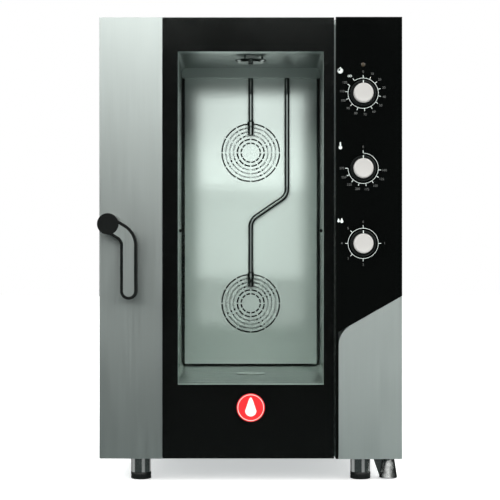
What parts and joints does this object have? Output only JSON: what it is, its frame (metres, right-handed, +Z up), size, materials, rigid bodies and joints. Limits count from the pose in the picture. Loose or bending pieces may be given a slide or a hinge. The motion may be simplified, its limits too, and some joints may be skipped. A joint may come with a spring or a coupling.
{
  "type": "combi steamer oven",
  "caption": "Upright combi steamer oven with a tall glazed door, a turning lever handle, dial controls, twin fans behind a slotted baffle, and levelling feet.",
  "frame": {"origin": "on the floor, below the middle of the outer box", "axes": "+Z up, -Y is the front with the door, +X to the right as seen from the front (the control side)"},
  "size_m": [0.73, 0.882, 1.124],
  "materials": {
    "casing_steel": "greenish-grey brushed stainless steel",
    "galvanised_steel": "plain galvanised sheet",
    "column_steel": "vertically brushed stainless steel",
    "door_steel": "folded stainless steel",
    "liner_steel": "bright rolled stainless steel",
    "baffle_steel": "pale satin stainless steel",
    "bright_steel": "polished stainless steel",
    "tube_steel": "drawn steel tube",
    "fan_steel": "stamped stainless steel",
    "element_steel": "heat-darkened sheathed element",
    "motor_metal": "cast aluminium motor housing",
    "wool": "mineral wool with foil",
    "silicone": "black silicone",
    "outer_pane": "tempered, faintly green",
    "inner_pane": "tempered, low emission coating",
    "lamp_glass": "frosted heat-proof glass",
    "border_enamel": "black screen-printed enamel",
    "fascia_black": "gloss black with pale printed dials",
    "badge_enamel": "red enamel",
    "handle_black": "satin black moulding",
    "inlay_steel": "satin stainless strip",
    "skirt_black": "black with a white pointer line",
    "cap_white": "satin pale cap",
    "switch_plastic": "moulded phenolic",
    "lamp_amber": "unlit amber lens",
    "valve_brass": "brass body with a dark coil",
    "gland_plastic": "black nylon",
    "pad_rubber": "black moulded foot"
  },
  "bodies": {
    "casing": {"left_side_panel": "casing_steel", "right_side_panel": "casing_steel", "top_cover": "casing_steel", "rear_panel": "casing_steel", "lower_front_panel": "casing_steel", "front_frame": "casing_steel", "base_frame": "galvanised_steel", "switch_bracket": "galvanised_steel", "hinge_brackets": "galvanised_steel", "cavity_shell": "liner_steel", "air_baffle": "baffle_steel", "pipe_cover": "baffle_steel", "baffle_screws": "bright_steel", "upper_injection_pipe": "bright_steel", "lower_injection_pipe": "bright_steel", "vent_deflector": "bright_steel", "foot_sleeves": "bright_steel", "drip_spout": "bright_steel", "casing_screws": "bright_steel", "drain_strainer": "bright_steel", "vent_pipe": "tube_steel", "drain_pipe": "tube_steel", "latch_striker": "tube_steel", "drip_gutter": "tube_steel", "oven_lamp": "tube_steel", "heating_elements": "element_steel", "fan_motors": "motor_metal", "cavity_insulation": "wool", "door_gasket": "silicone", "lamp_lens": "lamp_glass", "control_fascia": "fascia_black", "timer_switch": "switch_plastic", "thermostat_switch": "switch_plastic", "humidity_switch": "switch_plastic", "terminal_block": "switch_plastic", "pilot_lamp": "lamp_amber", "inlet_valve": "valve_brass", "cable_gland": "gland_plastic"},
    "door": {"door_frame": "door_steel", "door_left_column": "column_steel", "door_outer_glass": "outer_pane", "glass_border": "border_enamel", "inner_glass": "inner_pane", "inner_glass_clips": "bright_steel", "door_badge": "badge_enamel"},
    "handle": {"handle_lever": "handle_black", "handle_inlay": "inlay_steel", "latch_spindle": "tube_steel"},
    "timer_knob": {"timer_knob_skirt": "skirt_black", "timer_knob_cap": "cap_white"},
    "thermostat_knob": {"thermostat_knob_skirt": "skirt_black", "thermostat_knob_cap": "cap_white"},
    "humidity_knob": {"humidity_knob_skirt": "skirt_black", "humidity_knob_cap": "cap_white"},
    "upper_fan_wheel": {"upper_fan": "fan_steel"},
    "lower_fan_wheel": {"lower_fan": "fan_steel"},
    "front_left_foot_pad": {"front_left_foot": "pad_rubber"},
    "front_right_foot_pad": {"front_right_foot": "pad_rubber"},
    "rear_left_foot_pad": {"rear_left_foot": "pad_rubber"},
    "rear_right_foot_pad": {"rear_right_foot": "pad_rubber"}
  },
  "joints": [
    {"name": "door_hinge", "type": "hinge", "parent": "casing", "child": "door", "pos_m": [0.185, -0.37, 0.591], "axis": [0, 0, 1], "range_deg": [0, 120]},
    {"name": "handle_turn", "type": "hinge", "parent": "door", "child": "handle", "pos_m": [-0.3395, -0.381, 0.624], "axis": [0, -1, 0], "range_deg": [0, 75]},
    {"name": "timer_dial", "type": "hinge", "parent": "casing", "child": "timer_knob", "pos_m": [0.271, -0.381, 0.94], "axis": [0, 1, 0], "range_deg": [-35, 300]},
    {"name": "thermostat_dial", "type": "hinge", "parent": "casing", "child": "thermostat_knob", "pos_m": [0.271, -0.381, 0.759], "axis": [0, 1, 0], "range_deg": [0, 270]},
    {"name": "humidity_dial", "type": "hinge", "parent": "casing", "child": "humidity_knob", "pos_m": [0.271, -0.381, 0.578], "axis": [0, 1, 0], "range_deg": [0, 315]},
    {"name": "upper_fan_spin", "type": "hinge", "parent": "casing", "child": "upper_fan_wheel", "pos_m": [0, 0, 0.834], "axis": [0, 1, 0], "continuous": true},
    {"name": "lower_fan_spin", "type": "hinge", "parent": "casing", "child": "lower_fan_wheel", "pos_m": [0, 0, 0.413], "axis": [0, 1, 0], "continuous": true},
    {"name": "front_left_foot_turn", "type": "hinge", "parent": "casing", "child": "front_left_foot_pad", "pos_m": [-0.27, -0.296, 0], "axis": [0, 0, 1], "continuous": true},
    {"name": "front_right_foot_turn", "type": "hinge", "parent": "casing", "child": "front_right_foot_pad", "pos_m": [0.27, -0.296, 0], "axis": [0, 0, 1], "continuous": true},
    {"name": "rear_left_foot_turn", "type": "hinge", "parent": "casing", "child": "rear_left_foot_pad", "pos_m": [-0.27, 0.388, 0], "axis": [0, 0, 1], "continuous": true},
    {"name": "rear_right_foot_turn", "type": "hinge", "parent": "casing", "child": "rear_right_foot_pad", "pos_m": [0.27, 0.388, 0], "axis": [0, 0, 1], "continuous": true}
  ]
}
